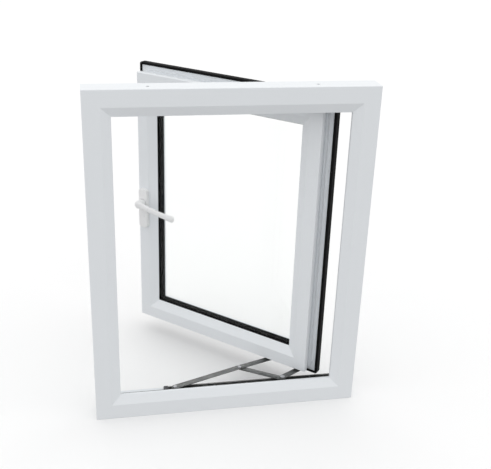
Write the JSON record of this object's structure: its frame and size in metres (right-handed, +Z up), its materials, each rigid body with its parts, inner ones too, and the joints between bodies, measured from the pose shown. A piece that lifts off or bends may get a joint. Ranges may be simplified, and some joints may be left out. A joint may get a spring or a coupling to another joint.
{
  "type": "casement window",
  "caption": "Side-hung outward-opening casement window: welded hollow-profile frame, double-glazed sash on friction stays, lever handle working an edge lock.",
  "frame": {"origin": "middle of the sill's underside, at mid frame depth", "axes": "+X towards the hinge side, +Y to the outdoors, +Z up"},
  "size_m": [0.7, 0.5055, 0.88],
  "materials": {
    "upvc_white": "satin",
    "seal_black": "matte",
    "glass": "clear",
    "spacer_black": "matte",
    "sealant_black": "matte",
    "stay_steel": "satin",
    "rivet_steel": "satin",
    "stiffener_steel": "galvanised",
    "lock_steel": "satin",
    "screw_steel": "zinc plated",
    "handle_white": "satin",
    "handle_plate_metal": "satin",
    "cap_grey": "matte",
    "cap_white": "satin",
    "shoe_plastic": "matte",
    "block_plastic": "matte"
  },
  "bodies": {
    "frame": {"frame_sill": "upvc_white", "frame_head": "upvc_white", "frame_jamb_left": "upvc_white", "frame_jamb_right": "upvc_white", "frame_reinforcements": "stiffener_steel", "frame_weatherseal": "seal_black", "frame_drain_caps": "cap_white", "lock_keeps": "lock_steel", "keep_screws": "screw_steel", "stay_track_bottom": "stay_steel", "stay_track_top": "stay_steel", "track_end_caps": "cap_grey", "track_screws": "screw_steel", "stay_anchor_rivets": "rivet_steel"},
    "sash": {"sash_bottom_rail": "upvc_white", "sash_top_rail": "upvc_white", "sash_stile_left": "upvc_white", "sash_stile_right": "upvc_white", "sash_reinforcements": "stiffener_steel", "sash_weatherseal": "seal_black", "inner_pane": "glass", "outer_pane": "glass", "setting_blocks": "block_plastic", "glazing_bead_bottom": "upvc_white", "glazing_bead_top": "upvc_white", "glazing_bead_left": "upvc_white", "glazing_bead_right": "upvc_white", "bead_gasket": "seal_black", "outer_glazing_gasket": "seal_black", "spacer_bar": "spacer_black", "edge_sealant": "sealant_black", "espag_faceplate": "lock_steel", "espag_gearbox": "lock_steel", "faceplate_screws": "screw_steel", "handle_base": "handle_plate_metal", "handle_base_cover": "handle_white", "handle_screws": "screw_steel", "vent_plate_bottom": "stay_steel", "vent_plate_top": "stay_steel", "vent_plate_screws": "screw_steel", "vent_rivets": "rivet_steel"},
    "long_arms": {"long_arm_bottom": "stay_steel", "long_arm_top": "stay_steel", "middle_rivets": "rivet_steel"},
    "pivot_arms": {"pivot_arm_bottom": "stay_steel", "pivot_arm_top": "stay_steel"},
    "shoes": {"shoe_bottom": "shoe_plastic", "shoe_top": "shoe_plastic", "shoe_rivets": "rivet_steel"},
    "short_arms": {"short_arm_bottom": "stay_steel", "short_arm_top": "stay_steel"},
    "handle": {"handle_lever": "handle_white", "handle_spindle": "lock_steel", "espag_crank": "lock_steel"},
    "lock_rod": {"drive_rod": "lock_steel", "locking_cams": "lock_steel"}
  },
  "joints": [
    {"name": "long_arm_swing", "type": "hinge", "parent": "frame", "child": "long_arms", "pos_m": [-0.1386, 0.0149, 0], "axis": [0, 0, 1], "range_deg": [-19.8, 3.07]},
    {"name": "sash_swing", "type": "hinge", "parent": "long_arms", "child": "sash", "pos_m": [0.15455, 0.12044, 0], "axis": [0, 0, -1], "range_deg": [-63.09, 9.76]},
    {"name": "pivot_arm_swing", "type": "hinge", "parent": "long_arms", "child": "pivot_arms", "pos_m": [0.05224, 0.08583, 0], "axis": [0, 0, -1], "range_deg": [-52.4, 8.12]},
    {"name": "shoe_turn", "type": "hinge", "parent": "pivot_arms", "child": "shoes", "pos_m": [0.16089, 0.0174, 0], "axis": [0, 0, 1], "range_deg": [-32.62, 5.05]},
    {"name": "short_arm_swing", "type": "hinge", "parent": "sash", "child": "short_arms", "pos_m": [0.22676, 0.05616, 0], "axis": [0, 0, 1], "range_deg": [-74.44, 11.53]},
    {"name": "handle_turn", "type": "hinge", "parent": "sash", "child": "handle", "pos_m": [-0.18212, 0.40615, 0.44], "axis": [0.6858, 0.7278, 0], "range_deg": [-5, 85]},
    {"name": "lock_rod_slide", "type": "slide", "parent": "sash", "child": "lock_rod", "axis": [0, 0, 1], "range_m": [-0.0012, 0.019]}
  ],
  "couplings": [
    {"joint": "long_arm_swing", "follows": "sash_swing", "ratio": 0.31366},
    {"joint": "pivot_arm_swing", "follows": "sash_swing", "ratio": 0.83047},
    {"joint": "shoe_turn", "follows": "sash_swing", "ratio": 0.51682},
    {"joint": "short_arm_swing", "follows": "sash_swing", "ratio": 1.1798},
    {"joint": "lock_rod_slide", "follows": "handle_turn", "m_per_rad": 0.012732}
  ]
}
